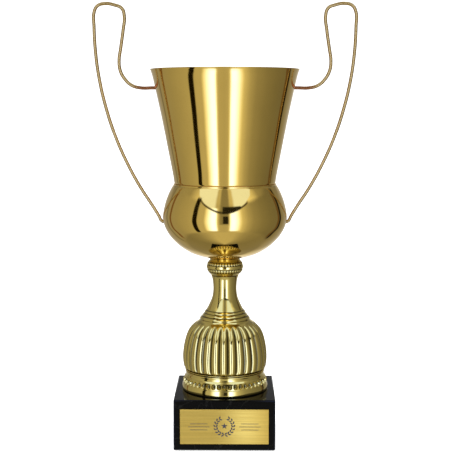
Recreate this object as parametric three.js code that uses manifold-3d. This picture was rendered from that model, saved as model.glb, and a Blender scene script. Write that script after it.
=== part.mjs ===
// Two-handled presentation cup on a square stone plinth.
// Millimetres, +Z up. The origin is on the cup's axis, level with the underside of the felt pads.
// The handles lie along X and the nameplate faces -Y.
import * as THREE from 'three';
import { mergeVertices } from 'three/addons/utils/BufferGeometryUtils.js';
import Module from 'manifold-3d';

const wasm = await Module();
wasm.setup();

// ---------------------------------------------------------------- driving dimensions
const GAP = 0.3; // left between pieces that rest on or pass through each other
const CUP_SEGMENTS = 40;
const COLLAR_SEGMENTS = 32;

const PAD_RADIUS = 7;
const PAD_HEIGHT = 0.5;
const PAD_SPACING = 74; // between pad centres, both ways

const PLINTH_SIDE = 100;
const PLINTH_HEIGHT = 50.5;
const PLINTH_BEVEL = 1.2;
const PLINTH_BORE_RADIUS = 4.5;
const COUNTERBORE_RADIUS = 14;
const COUNTERBORE_DEPTH = 14;

const PLATE_WIDTH = 87;
const PLATE_HEIGHT = 35;
const PLATE_THICKNESS = 1;
const PLATE_CENTRE_HEIGHT = 24.7;
const ADHESIVE_THICKNESS = 0.4;
const ADHESIVE_INSET = 1.5;

const FOOT_HEIGHT = 19.4;
const FOOT_BORE_RADIUS = 36.4;

const RIB_COUNT = 30;
const RIB_STEPS = 3; // facets round each rib
const RIB_DEPTH = 2.2;
const RIB_TURN = THREE.MathUtils.degToRad(-1.5);
const RIBS_BOTTOM = 73;
const RIBS_TOP = 118.2;
const RISER_TOP = 167;

const COLLAR_HEIGHT = 17.1;
const COLLAR_BORE_RADIUS = 3.6;

const SHEET = 0.8; // spun metal of the bowl and the cone
const BOWL_BOTTOM = 184.8;
const WAIST_HEIGHT = 260; // the seam between the bowl and the cone
const NECK_RADIUS = 51.4; // the bowl's short straight neck
const SPIGOT_LENGTH = 8; // the part of the cone that reaches down inside the neck
const LIP_RADIUS = 74.2;
const LIP_HEIGHT = 373;

const WIRE_RADIUS = 1.7;
const WIRE_SIDES = 8;
const WIRE_STEPS = 82;
const TAIL_HEIGHT = 354.6; // the handle's level upper end
const FOOT_OF_HANDLE_HEIGHT = 220.8; // its lower end
const HANDLE_HOLE_RADIUS = 2.3;

const ROD_RADIUS = 3;
const ROD_BOTTOM = 4;
const ROD_TOP = 195.5;

const PLINTH_TOP = PAD_HEIGHT + PLINTH_HEIGHT;
const FOOT_TOP = PLINTH_TOP + FOOT_HEIGHT;
const RISER_BOTTOM = FOOT_TOP + GAP;
const COLLAR_BOTTOM = RISER_TOP + GAP;
const BOWL_FLOOR = BOWL_BOTTOM + SHEET;

// ---------------------------------------------------------------- materials
const finish = (color, metalness, roughness) =>
  new THREE.MeshStandardMaterial({ color, metalness, roughness });
const polishedGold = () => finish(0xc9a44c, 1, 0.08);
const wireGold = () => finish(0xc79f58, 1, 0.18);
const brushedGold = () => finish(0xc9ad6a, 1, 0.35);
const blackStone = () => finish(0x141414, 0, 0.15);
const zincSteel = () => finish(0xb9bcc0, 1, 0.35);
const blackFelt = () => finish(0x1c1c1e, 0, 1);
const foamTape = () => finish(0xe8e6df, 0, 0.9);

// ---------------------------------------------------------------- helpers
const model = new THREE.Group();

function piece(name, geometry, material) {
  const mesh = new THREE.Mesh(geometry, material);
  mesh.name = name;
  model.add(mesh);
  return mesh;
}

const at = (radius, height) => new THREE.Vector2(radius, height);

const smooth = (points, steps) => new THREE.SplineCurve(points).getPoints(steps);

// An outline in (radius, height) turned about the Z axis.
function turned(outline, segments) {
  const geometry = new THREE.LatheGeometry(outline, segments);
  geometry.rotateX(Math.PI / 2);
  return geometry;
}

// The outline of a sheet-metal wall: an outer line and its copy one thickness further in.
function wall(outer, thickness) {
  const inner = outer.map((point, i) => {
    const before = outer[Math.max(i - 1, 0)];
    const after = outer[Math.min(i + 1, outer.length - 1)];
    const along = after.clone().sub(before).normalize();
    return at(point.x - along.y * thickness, point.y + along.x * thickness);
  });
  return [...outer, ...inner.reverse(), outer[0].clone()];
}

function ring(innerRadius, outerRadius, bottom, height, segments) {
  const outline = [
    at(innerRadius, bottom),
    at(outerRadius, bottom),
    at(outerRadius, bottom + height),
    at(innerRadius, bottom + height),
    at(innerRadius, bottom),
  ];
  return turned(outline, segments);
}

function rod(radius, bottom, top, chamfer, segments) {
  const outline = [
    at(0, bottom),
    at(radius - chamfer, bottom),
    at(radius, bottom + chamfer),
    at(radius, top - chamfer),
    at(radius - chamfer, top),
    at(0, top),
  ];
  return turned(outline, segments);
}

function hexNut(acrossFlats, boreRadius, height) {
  const shape = new THREE.Shape();
  const cornerRadius = acrossFlats / Math.sqrt(3);
  for (let k = 0; k < 6; k += 1) {
    const angle = (k * Math.PI) / 3;
    const x = cornerRadius * Math.cos(angle);
    const y = cornerRadius * Math.sin(angle);
    if (k === 0) shape.moveTo(x, y);
    else shape.lineTo(x, y);
  }
  shape.holes.push(new THREE.Path().absarc(0, 0, boreRadius, 0, 2 * Math.PI, true));
  return new THREE.ExtrudeGeometry(shape, { depth: height, bevelEnabled: false, curveSegments: 8 });
}

function toSolid(geometry) {
  const bare = geometry.clone();
  bare.deleteAttribute('normal');
  bare.deleteAttribute('uv');
  const merged = mergeVertices(bare, 1e-4);
  const mesh = new wasm.Mesh({
    numProp: 3,
    vertProperties: new Float32Array(merged.attributes.position.array),
    triVerts: new Uint32Array(merged.index.array),
  });
  return new wasm.Manifold(mesh);
}

function toGeometry(solid) {
  const { vertProperties, triVerts } = solid.getMesh();
  const geometry = new THREE.BufferGeometry();
  geometry.setAttribute('position', new THREE.BufferAttribute(vertProperties, 3));
  geometry.setIndex(new THREE.BufferAttribute(triVerts, 1));
  return geometry;
}

function cut(geometry, tools) {
  const solid = tools.reduce((rest, tool) => rest.subtract(toSolid(tool)), toSolid(geometry));
  return toGeometry(solid);
}

// A round drill along X, from the axis outwards to one side of the cup.
function sideDrill(radius, height, side) {
  const length = 2 * LIP_RADIUS;
  const drill = new THREE.CylinderGeometry(radius, radius, length, 16);
  drill.rotateZ(Math.PI / 2);
  drill.translate((side * length) / 2, 0, height);
  return drill;
}

// ---------------------------------------------------------------- felt pads
[-1, 1].forEach((sideY, row) => {
  [-1, 1].forEach((sideX, column) => {
    const disc = rod(PAD_RADIUS, 0, PAD_HEIGHT, 0.1, 16);
    const pad = piece(`felt_pad_${1 + column + 2 * row}`, disc, blackFelt());
    pad.position.set((sideX * PAD_SPACING) / 2, (sideY * PAD_SPACING) / 2, 0);
  });
});

// ---------------------------------------------------------------- plinth
function plinth() {
  const half = PLINTH_SIDE / 2 - PLINTH_BEVEL;
  const face = new THREE.Shape();
  face.moveTo(-half, -half);
  face.lineTo(half, -half);
  face.lineTo(half, half);
  face.lineTo(-half, half);
  const block = new THREE.ExtrudeGeometry(face, {
    depth: PLINTH_HEIGHT - 2 * PLINTH_BEVEL,
    bevelThickness: PLINTH_BEVEL,
    bevelSize: PLINTH_BEVEL,
    bevelSegments: 2,
  });
  block.translate(0, 0, PAD_HEIGHT + PLINTH_BEVEL);
  const through = 5; // how far the drills run past the faces
  const bore = rod(PLINTH_BORE_RADIUS, PAD_HEIGHT - through, PLINTH_TOP + through, 0, 24);
  const counterbore = rod(COUNTERBORE_RADIUS, PAD_HEIGHT - through, PAD_HEIGHT + COUNTERBORE_DEPTH, 0, 32);
  return cut(block, [bore, counterbore]);
}
piece('stone_plinth', plinth(), blackStone());

// ---------------------------------------------------------------- nameplate and its adhesive
function slab(width, thickness, height) {
  return new THREE.BoxGeometry(width, thickness, height);
}
const tapeWidth = PLATE_WIDTH - 2 * ADHESIVE_INSET;
const tapeHeight = PLATE_HEIGHT - 2 * ADHESIVE_INSET;
const tape = piece('nameplate_adhesive', slab(tapeWidth, ADHESIVE_THICKNESS, tapeHeight), foamTape());
tape.position.set(0, -(PLINTH_SIDE + ADHESIVE_THICKNESS) / 2, PLATE_CENTRE_HEIGHT);
const plate = piece('nameplate', slab(PLATE_WIDTH, PLATE_THICKNESS, PLATE_HEIGHT), brushedGold());
plate.position.set(0, -(PLINTH_SIDE + PLATE_THICKNESS) / 2 - ADHESIVE_THICKNESS, PLATE_CENTRE_HEIGHT);

// ---------------------------------------------------------------- foot ring
function footRing() {
  const skirt = smooth(
    [
      at(42.6, PLINTH_TOP),
      at(43.4, 52.3),
      at(43.5, 54.6),
      at(42.6, 58.6),
      at(41.2, 62.6),
      at(39.7, 67),
      at(39.9, 69.4),
    ],
    8,
  );
  const outline = [
    at(FOOT_BORE_RADIUS, PLINTH_TOP),
    ...skirt,
    at(38.6, FOOT_TOP),
    at(FOOT_BORE_RADIUS, FOOT_TOP),
    at(FOOT_BORE_RADIUS, PLINTH_TOP),
  ];
  return turned(outline, CUP_SEGMENTS);
}
piece('foot_ring', footRing(), polishedGold());

// ---------------------------------------------------------------- gadrooned riser
const domeLine = smooth(
  [
    at(39.9, RIBS_BOTTOM),
    at(41.6, 74.8),
    at(42.7, 83.5),
    at(42.1, 93),
    at(39.7, 104.3),
    at(36.3, 112),
    at(30.6, RIBS_TOP),
    at(26.6, 120.9),
  ],
  9,
);
const stepRings = [
  at(25.5, 122.3),
  at(25.1, 123.9),
  at(23.1, 125.5),
  at(22.6, 127.1),
  at(21, 128.6),
  at(20.6, 130.2),
];
const neckLine = smooth(
  [at(19, 131.7), at(16.1, 137.2), at(12.9, 145), at(11.9, 152.4), at(12.3, 160.5), at(13.9, RISER_TOP)],
  6,
);
const riserHollow = smooth(
  [
    at(10, RISER_TOP),
    at(9.6, 152),
    at(14, 135),
    at(26, 118),
    at(36.4, 104),
    at(38.6, 84),
    at(36.9, RISER_BOTTOM),
  ],
  6,
);

const baseBead = [at(38.6, RISER_BOTTOM), at(40.4, 71.2), at(40.4, 71.9), at(38.9, 72.5)];

// How far the surface sinks below the rib crests: nothing on a crest, RIB_DEPTH between two ribs.
function ribDrop(angle, height) {
  const turn = ((angle - RIB_TURN) * RIB_COUNT) / (2 * Math.PI);
  const fromCrest = 2 * Math.abs(turn - Math.round(turn));
  const fromEnds = Math.min(height - RIBS_BOTTOM, RIBS_TOP - height);
  const fade = THREE.MathUtils.clamp(fromEnds / 3, 0, 1);
  return RIB_DEPTH * fade * (1 - Math.sqrt(Math.max(0, 1 - fromCrest * fromCrest)));
}

function riser() {
  const outer = [...baseBead, ...domeLine, ...stepRings, ...neckLine];
  const outline = [...outer, ...riserHollow, outer[0].clone()];
  const geometry = new THREE.LatheGeometry(outline, RIB_COUNT * RIB_STEPS, RIB_TURN);
  const position = geometry.attributes.position;
  for (let i = 0; i < position.count; i += 1) {
    const isOuter = i % outline.length < outer.length;
    const x = position.getX(i);
    const z = position.getZ(i);
    const radius = Math.hypot(x, z);
    const drop = isOuter ? ribDrop(Math.atan2(x, z), position.getY(i)) : 0;
    position.setX(i, (x * (radius - drop)) / radius);
    position.setZ(i, (z * (radius - drop)) / radius);
  }
  geometry.rotateX(Math.PI / 2);
  return geometry;
}
piece('gadrooned_riser', riser(), polishedGold());

// ---------------------------------------------------------------- collar
function collar() {
  const top = COLLAR_BOTTOM + COLLAR_HEIGHT;
  const hollowTop = COLLAR_BOTTOM + 10.5;
  const bulge = smooth(
    [
      at(14.3, COLLAR_BOTTOM + 0.5),
      at(16.6, 170.2),
      at(17.9, 172.5),
      at(18.5, 176.2),
      at(17.8, 180),
      at(15.9, 182.6),
      at(14.8, top),
    ],
    8,
  );
  const outline = [
    at(12.5, COLLAR_BOTTOM),
    at(13.8, COLLAR_BOTTOM),
    ...bulge,
    at(COLLAR_BORE_RADIUS, top),
    at(COLLAR_BORE_RADIUS, hollowTop),
    at(12.5, hollowTop),
    at(12.5, COLLAR_BOTTOM),
  ];
  return turned(outline, COLLAR_SEGMENTS);
}
piece('beaded_collar', collar(), polishedGold());

// ---------------------------------------------------------------- cup bowl
function bowl() {
  const belly = smooth(
    [
      at(16, BOWL_BOTTOM),
      at(28.1, 188),
      at(40.5, 194),
      at(50.1, 201.7),
      at(58.1, 212),
      at(62.1, 224),
      at(60.9, 236.8),
      at(56.5, 249.8),
      at(52.2, 257.4),
    ],
    12,
  );
  const neck = [at(NECK_RADIUS, 258.7), at(NECK_RADIUS, WAIST_HEIGHT - 0.2)];
  const shell = turned(wall([at(COLLAR_BORE_RADIUS, BOWL_BOTTOM), ...belly, ...neck], SHEET), CUP_SEGMENTS);
  const drills = [-1, 1].map((side) => sideDrill(HANDLE_HOLE_RADIUS, FOOT_OF_HANDLE_HEIGHT, side));
  return cut(shell, drills);
}
piece('cup_bowl', bowl(), polishedGold());

// ---------------------------------------------------------------- cup cone
function cone() {
  const spigotRadius = NECK_RADIUS - SHEET - GAP;
  const flare = smooth(
    [
      at(50.8, WAIST_HEIGHT + 0.6),
      at(54.9, 284),
      at(62.7, 324.4),
      at(70.4, 360),
      at(72.4, 367.6),
      at(LIP_RADIUS, LIP_HEIGHT),
    ],
    7,
  );
  const spigot = [at(spigotRadius, WAIST_HEIGHT - SPIGOT_LENGTH), at(spigotRadius, WAIST_HEIGHT - 0.2)];
  const shell = turned(wall([...spigot, ...flare], SHEET), CUP_SEGMENTS);
  const drills = [-1, 1].map((side) => sideDrill(HANDLE_HOLE_RADIUS, TAIL_HEIGHT, side));
  return cut(shell, drills);
}
piece('cup_cone', cone(), polishedGold());

// ---------------------------------------------------------------- handles
// The wire's centre line on the +X side, as (distance from the axis, height), from the upper end
// through the tall loop and down to the belly of the bowl.
const wireRoute = [
  [61.5, TAIL_HEIGHT],
  [72, TAIL_HEIGHT],
  [83.5, TAIL_HEIGHT],
  [92, 356.9],
  [99, 363],
  [103.6, 371.5],
  [104.7, 381],
  [102.9, 394],
  [100.4, 411],
  [99.1, 425],
  [101.6, 432.4],
  [108.6, 435.5],
  [118, 437],
  [125.4, 434.9],
  [128.9, 429],
  [129.3, 414],
  [127.8, 388],
  [124.3, 362],
  [118.2, 335],
  [109.4, 307.4],
  [98, 280.8],
  [84.6, 255.8],
  [72.4, 237],
  [66.3, 227],
  [63.4, 221.9],
  [60.2, FOOT_OF_HANDLE_HEIGHT],
  [54.2, FOOT_OF_HANDLE_HEIGHT],
];

function handle(side) {
  const route = wireRoute.map(([reach, height]) => new THREE.Vector3(side * reach, 0, height));
  const section = new THREE.Shape();
  section.absarc(0, 0, WIRE_RADIUS, 0, 2 * Math.PI, false);
  const options = {
    steps: WIRE_STEPS,
    curveSegments: WIRE_SIDES / 2, // a full circle takes two of these a side
    extrudePath: new THREE.CatmullRomCurve3(route, false, 'centripetal'),
  };
  return new THREE.ExtrudeGeometry(section, options);
}
piece('handle_left', handle(-1), wireGold());
piece('handle_right', handle(1), wireGold());

// ---------------------------------------------------------------- handle nuts and washers
const HANDLE_NUT = { acrossFlats: 5.5, height: 2.4 };
const HANDLE_WASHER = { radius: 3.5, height: 0.5 };
const HANDLE_FIXINGS = [
  { level: 'upper', height: TAIL_HEIGHT, reach: 66.9 },
  { level: 'lower', height: FOOT_OF_HANDLE_HEIGHT, reach: 59 },
];
const fixingBore = WIRE_RADIUS + GAP / 2;
[['left', -1], ['right', 1]].forEach(([sideName, side]) => {
  HANDLE_FIXINGS.forEach(({ level, height, reach }) => {
    const washer = ring(fixingBore, HANDLE_WASHER.radius, 0, HANDLE_WASHER.height, 20);
    const nut = hexNut(HANDLE_NUT.acrossFlats, fixingBore, HANDLE_NUT.height);
    const seats = [
      [`handle_washer_${level}_${sideName}`, washer, reach],
      [`handle_nut_${level}_${sideName}`, nut, reach - HANDLE_WASHER.height - GAP],
    ];
    seats.forEach(([name, geometry, outerFace]) => {
      const fixing = piece(name, geometry, zincSteel());
      fixing.rotation.y = (-side * Math.PI) / 2;
      fixing.position.set(side * outerFace, 0, height);
    });
  });
});

// ---------------------------------------------------------------- tie rod, its nuts and washers
const ROD_NUT = { acrossFlats: 10, height: 5 };
const ROD_WASHER = { radius: 12, height: 1.6 };
const rodBore = ROD_RADIUS + GAP / 2;
const topWasherBottom = BOWL_FLOOR + GAP;
const bottomWasherTop = PAD_HEIGHT + COUNTERBORE_DEPTH - GAP;
piece('tie_rod', rod(ROD_RADIUS, ROD_BOTTOM, ROD_TOP, 0.6, 20), zincSteel());
const largeWasher = (bottom) => ring(rodBore, ROD_WASHER.radius, bottom, ROD_WASHER.height, 28);
piece('rod_washer_top', largeWasher(topWasherBottom), zincSteel());
piece('rod_washer_bottom', largeWasher(bottomWasherTop - ROD_WASHER.height), zincSteel());
const topNut = piece('rod_nut_top', hexNut(ROD_NUT.acrossFlats, rodBore, ROD_NUT.height), zincSteel());
topNut.position.z = topWasherBottom + ROD_WASHER.height + GAP;
const bottomNut = piece('rod_nut_bottom', hexNut(ROD_NUT.acrossFlats, rodBore, ROD_NUT.height), zincSteel());
bottomNut.position.z = bottomWasherTop - ROD_WASHER.height - GAP - ROD_NUT.height;

export default model;
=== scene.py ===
import math

import bmesh
import bpy
from bpy.props import FloatProperty, FloatVectorProperty, IntProperty, PointerProperty
from mathutils import Matrix, Vector
from mathutils.geometry import interpolate_bezier


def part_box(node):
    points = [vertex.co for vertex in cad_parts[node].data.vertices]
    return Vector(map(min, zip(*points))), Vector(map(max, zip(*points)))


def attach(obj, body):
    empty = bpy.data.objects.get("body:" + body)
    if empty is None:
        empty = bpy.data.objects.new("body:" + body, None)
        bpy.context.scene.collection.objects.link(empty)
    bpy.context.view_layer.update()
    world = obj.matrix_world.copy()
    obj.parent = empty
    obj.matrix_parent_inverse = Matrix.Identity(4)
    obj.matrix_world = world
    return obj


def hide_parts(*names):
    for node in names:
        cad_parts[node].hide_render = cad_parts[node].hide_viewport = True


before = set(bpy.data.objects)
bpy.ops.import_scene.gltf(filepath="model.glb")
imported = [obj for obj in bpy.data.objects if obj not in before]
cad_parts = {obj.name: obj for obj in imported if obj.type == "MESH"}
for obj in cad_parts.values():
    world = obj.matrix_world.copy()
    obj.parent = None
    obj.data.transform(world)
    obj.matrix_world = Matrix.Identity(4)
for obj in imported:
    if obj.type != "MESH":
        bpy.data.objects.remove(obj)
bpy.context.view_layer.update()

bl_info = {
    "name": "Presentation Cup",
    "version": (1, 0, 0),
    "blender": (4, 5, 0),
    "location": "3D Viewport > Sidebar > Cup",
    "description": "Models a two-handled presentation cup round its working frame",
    "category": "Add Mesh",
}

MM = 0.001
BODY = "root"

# ------------------------------------------------------------------ outlines
# Every outline is a list of (distance from the axis, height above the piece's own foot), in mm, and the
# heights of dimples, ribs and beads start at the same foot. The knots of a run are joined by a smooth
# curve, and the runs meet at corners.
FOOT_RING_RUNS = (
    ((42.3, 0.1), (43.1, 0.5), (43.5, 1.6), (43.4, 4.0), (42.9, 6.2), (42.5, 7.2)),
    ((42.5, 7.2), (42.1, 10.4), (41.1, 13.6)),
    ((41.1, 13.6), (39.9, 15.2), (39.7, 17.0), (39.95, 18.4), (39.6, 19.2), (38.6, 19.4)),
)
FOOT_RING_HOLLOW = ((36.6, 19.4), (36.5, 17.0), (37.5, 4.0), (38.5, 0.1))
DIMPLE_HEIGHT = 10.4
DIMPLE_HALF_HEIGHT = 2.6
DIMPLE_HALF_WIDTH = 0.80  # of the way from one dimple's centre to half way to the next
STEPS_PER_DIMPLE = 14

RISER_RUNS = (
    ((37.4, 0.05), (38.4, 0.2)),
    ((38.4, 0.2), (40.1, 0.45), (40.6, 0.9), (40.1, 1.4), (38.2, 1.8)),
    ((38.2, 1.8), (38.4, 2.2)),
    (
        (38.4, 2.2), (40.9, 2.7), (41.9, 4.9), (42.75, 12.8), (42.1, 22.3), (39.7, 33.6), (36.3, 41.3),
        (30.6, 47.5), (27.0, 49.9), (25.3, 51.6),
    ),
)
STEP_RING_HEIGHTS = (53.5, 56.6, 59.7)
STEP_RING_RADII = (25.3, 22.7, 20.7)
STEP_RING_HALF_HEIGHT = 1.4
NECK_RUN = (
    (18.9, 61.1), (16.1, 66.5), (12.9, 74.3), (11.9, 81.7), (12.2, 89.5), (13.0, 93.8), (14.0, 96.25),
)
RISER_HOLLOW = (
    (10.3, 96.25), (9.4, 82.0), (13.0, 66.0), (22.0, 50.0), (33.0, 36.0), (35.4, 12.0), (36.9, 0.05),
)
RIB_FOOT, RIB_HEAD = 2.2, 49.0
RIB_FOOT_ROUNDING, RIB_HEAD_ROUNDING = 4.0, 6.0
STEPS_PER_RIB = 16
# Inner corners given painted shade: under the ribs, and at the foot of the rings and the neck.
SHADED_CORNERS = (2.0, 52.1, 55.2, 58.3, 61.1)
SHADED_CORNER_REACH = 0.8

COLLAR_RUNS = (
    ((12.6, 0.05), (13.6, 0.1), (14.3, 0.6), (15.4, 1.7), (16.9, 3.3)),
    ((16.9, 3.3), (17.8, 4.9), (18.1, 6.9)),
    ((18.1, 6.9), (18.6, 8.0), (18.55, 9.6), (18.1, 10.7)),
    ((18.1, 10.7), (17.8, 12.4), (16.9, 13.9)),
    ((16.9, 13.9), (15.6, 15.3), (14.7, 17.0)),
)
COLLAR_HOLLOW = ((3.7, 17.0), (3.7, 10.7), (12.4, 10.7))
BEAD_ROW_HEIGHTS = (5.2, 12.2)
BEAD_HALF_HEIGHT = 1.7
STEPS_PER_BEAD = 12

BOWL_FLOOR = ((3.6, 0.0), (8.0, 0.0))
BOWL_BELLY_RUN = (
    (13.5, 0.0), (16.5, 0.25), (22.0, 1.4), (28.2, 3.3), (34.8, 5.9), (40.5, 9.2), (45.7, 12.9),
    (50.3, 17.1), (54.8, 22.1), (58.2, 27.3), (60.8, 32.9), (62.1, 39.2), (62.1, 44.8), (61.0, 51.0),
    (59.1, 58.0), (56.5, 64.8), (53.8, 70.2), (52.1, 73.2),
)
BOWL_NECK_RUN = ((52.1, 73.2), (51.55, 73.65), (51.45, 74.1), (51.45, 74.6), (51.2, 74.95))

CONE_SPIGOT_RUN = ((50.3, 0.05), (50.3, 7.9))
CONE_FLARE_RUN = (
    (50.7, 8.4), (52.15, 17.6), (54.9, 32.0), (58.45, 50.5), (62.4, 71.2), (66.45, 90.1), (70.0, 106.2),
    (71.9, 114.2), (73.3, 118.7), (74.15, 120.95),
)

# The plinth's drilling: a bore for the rod, and a counterbore that clears the lower washer.
ROD_BORE_RADIUS = 4.5
COUNTERBORE_RADIUS = 14.0
COUNTERBORE_SPARE = 0.3
DRILL_OVERRUN = 5.0

# The wire's centre line on the +X side, as (distance from the axis, height above the floor), in mm.
WIRE_ROUTE = (
    (61.5, 354.6), (72.0, 354.6), (83.5, 354.6), (92.0, 356.9), (99.0, 363.0), (103.6, 371.5),
    (104.7, 381.0), (102.9, 394.0), (100.4, 411.0), (99.1, 425.0), (101.6, 432.4), (108.6, 435.5),
    (118.0, 436.9), (125.3, 434.8), (128.7, 429.0), (129.05, 414.0), (127.75, 388.0), (124.3, 362.0),
    (118.2, 335.0), (109.4, 307.4), (98.0, 280.8), (84.6, 255.8), (72.4, 237.0), (66.3, 227.0),
    (63.4, 221.9), (60.2, 220.8), (54.2, 220.8),
)

# The fasteners, in mm, but the thread's depth as a part of its pitch.
THREAD_PITCH = 1.0
THREAD_DEPTH = 0.61
ROD_WASHER_BORE = 3.2
ROD_NUT_BORE = 3.05
FIXING_CLEARANCE = 0.05

# The nameplate's engraving, in mm from the plate's middle: three rules and half a laurel on each side of a
# star.
ENGRAVING_HEIGHT = 0.02
RULES = ((3.0, 17.0), (0.0, 21.0), (-3.0, 17.0))  # (height, length)
RULE_CENTRE, RULE_WIDTH = 25.0, 0.5
LAUREL_RADIUS, LAUREL_HEIGHT = 8.6, 0.6
LEAF_PAIRS = 8
FIRST_LEAF, LEAF_SPACING = -78, 20  # degrees round the laurel
LEAF_LENGTH = 3.3
LEAF_ROWS = ((1.1, 52), (-1.1, 118))  # (distance outside the laurel's radius, lean in degrees)
STAR_RADIUS, STAR_HEIGHT, STAR_WAIST = 3.3, 0.8, 0.4

# ------------------------------------------------------------------ the light tent
# Directions are in degrees: round from the front towards the right, and up from the horizon.
# (direction round, brightness), from behind past the left, the front and the right to behind again.
WALLS = (
    (-180, 0.95), (-170, 0.90), (-158, 0.42), (-130, 0.36), (-100, 0.41), (-72, 0.51), (-45, 0.62),
    (-12, 0.60), (0, 0.56), (34, 0.80), (44, 0.53), (56, 0.37), (75, 0.28), (95, 0.23), (120, 0.20),
    (145, 0.36), (158, 0.45), (170, 0.90), (180, 0.95),
)
CEILING = (
    (-180, 0.45), (-110, 0.40), (-86, 0.40), (-68, 0.75), (-55, 1.05), (-42, 1.05), (-27, 0.60),
    (0, 0.72), (24, 0.80), (36, 1.20), (56, 1.15), (68, 0.85), (82, 0.40), (110, 0.26), (180, 0.45),
)
TABLE = (
    (-180, 0.40), (-150, 0.29), (-100, 0.26), (-72, 0.33), (-48, 0.48), (-25, 0.66), (0, 0.66),
    (25, 0.64), (48, 0.43), (70, 0.33), (100, 0.27), (150, 0.28), (180, 0.40),
)
# The tall lamps: (left edge, its softness, right edge, its softness).
LAMPS = ((-29.0, 8.0, -15.0, 2.5), (11.0, 2.5, 24.5, 7.5))
LAMP_GLOW = (1.15, 1.2, 1.3)
# Upright strips, each laid over the one before: (left, right, bottom, top), (softness of the sides, of the
# ends) and colour. They are the tent's open seam, a dark pole, a pale pole, two brown lines that are painted
# reflections of the wire handles, and the camera.
STRIPS = (
    ((-61.7, -52.3, -42, 37), (1.2, 3), (0.01, 0.008, 0.0)),
    ((120.5, 127, -42, 25), (1.5, 3), (0.02, 0.015, 0.01)),
    ((-137, -132, -42, 25), (1.5, 3), (0.22, 0.22, 0.22)),
    # Painted reflections of the wire handles, as brown lines on the left and the right.
    ((-122.5, -117, -42, 25), (1.2, 3), (0.20, 0.11, 0.05)),
    ((115, 119.5, -42, 25), (1.2, 3), (0.15, 0.09, 0.04)),
    ((-3, 7, -11, 15), (1.5, 1.5), (0.02, 0.02, 0.02)),
)


# ------------------------------------------------------------------ settings
def length_setting(name, description, millimetres):
    return FloatProperty(name=name, description=description, default=millimetres * MM, unit="LENGTH")


def colour_setting(name, description, default):
    return FloatVectorProperty(name=name, description=description, default=default, subtype="COLOR")


class CupSizes(bpy.types.PropertyGroup):
    """Sizes that a user would change."""

    sheet: length_setting("Sheet", "Thickness of the spun metal", 0.8)
    wire_radius: length_setting("Wire", "Radius of the handle wire", 1.7)
    rib_count: IntProperty(name="Ribs", description="Ribs round the dome", default=30)
    rib_depth: length_setting("Rib depth", "Depth between two ribs", 2.1)
    rib_turn: FloatProperty(
        name="Rib turn", description="Turn of the ribs", default=math.radians(-1.5), unit="ROTATION"
    )
    dimple_count: IntProperty(name="Dimples", description="Dimples round the foot ring", default=48)
    dimple_depth: length_setting("Dimple depth", "Depth of a dimple", 2.6)
    bead_count: IntProperty(name="Beads", description="Beads in each row of the collar", default=36)
    bead_depth: length_setting("Bead depth", "Depth between beads", 0.6)
    stone_edge: length_setting("Stone edge", "Rounding of the plinth's edges", 1.2)


class CupFinishes(bpy.types.PropertyGroup):
    """Colours and gloss of the finishes."""

    gold: colour_setting("Gold", "Polished gold of the cup", (0.80, 0.545, 0.125))
    stem_gold: colour_setting("Stem gold", "Plated gold of the stem", (0.72, 0.555, 0.15))
    wire_gold: colour_setting("Wire gold", "Gold of the handle wire", (0.48, 0.31, 0.085))
    # Painted reflection: the gold cup's brownish reflection, put as colour on the wire's level ends.
    cup_reflection_tint: colour_setting("Cup reflection tint", "Painted reflection of the cup on the wire's level ends", (0.34, 0.13, 0.04))
    plate_gold: colour_setting("Plate gold", "Brushed nameplate", (0.62, 0.386, 0.052))
    # Painted shade: the colour that the deepest hollows and inner corners are darkened to.
    recess_shade: colour_setting("Recess shade", "Painted shade in recesses", (0.06, 0.047, 0.015))
    stone: colour_setting("Stone", "Polished stone", (0.0012, 0.0012, 0.001))
    ink: colour_setting("Engraving", "Filler of the engraving", (0.022, 0.018, 0.01))
    steel: colour_setting("Steel", "Zinc-plated steel", (0.56, 0.57, 0.58))
    felt: colour_setting("Felt", "Felt pads", (0.012, 0.012, 0.014))
    tape: colour_setting("Tape", "Foam tape behind the nameplate", (0.72, 0.70, 0.65))
    gloss: FloatProperty(
        name="Gold roughness", description="Roughness of polished gold", default=0.045, subtype="FACTOR"
    )


class CupStudio(bpy.types.PropertyGroup):
    """Camera and light."""

    distance: length_setting("Distance", "Camera from the axis", 1100)
    height: length_setting("Height", "Camera above the floor", 340.5)
    azimuth: FloatProperty(
        name="Azimuth", description="Camera round the cup", default=0.011, unit="ROTATION"
    )
    tilt: FloatProperty(
        name="Tilt", description="Camera's downward tilt", default=0.112, unit="ROTATION"
    )
    pan: FloatProperty(
        name="Pan", description="Camera's turn off the axis", default=-0.001, unit="ROTATION"
    )
    lens: FloatProperty(name="Lens", description="Focal length in mm", default=87.7)
    soft_light: FloatProperty(
        name="Soft light", description="Brightness of the tent for matt things", default=1.5
    )
    lamp: colour_setting("Lamp", "Colour of the lamps", (0.31, 0.41, 1.0))
    lamp_power: FloatProperty(name="Lamp power", description="Brightness of the lamps", default=7.0)
    floor: colour_setting("Floor", "Colour of the floor", (0.95, 0.95, 0.95))


def sizes():
    return bpy.context.scene.cup_sizes


def finishes():
    return bpy.context.scene.cup_finishes


# ------------------------------------------------------------------ mesh helpers
def smooth_run(knots, steps):
    """Points of a smooth curve through the knots, with a few steps between each two."""
    points = [Vector((radius * MM, 0, height * MM)) for radius, height in knots]
    if len(points) == 2:
        return points
    ends = [points[0] * 2 - points[1], *points, points[-1] * 2 - points[-2]]
    line = []
    for before, start, end, after in zip(ends, ends[1:], ends[2:], ends[3:]):
        leave = start + (end - before) / 6
        arrive = end - (after - start) / 6
        line += interpolate_bezier(start, leave, arrive, end, steps + 1)[:-1]
    return line + [points[-1]]


def joined(runs, steps):
    """The runs' curves end to end, with each corner that two runs share kept once."""
    line = []
    for run in runs:
        points = smooth_run(run, steps)
        line += points[1:] if line else points
    return line


def straight(knots):
    return [Vector((radius * MM, 0, height * MM)) for radius, height in knots]


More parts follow.
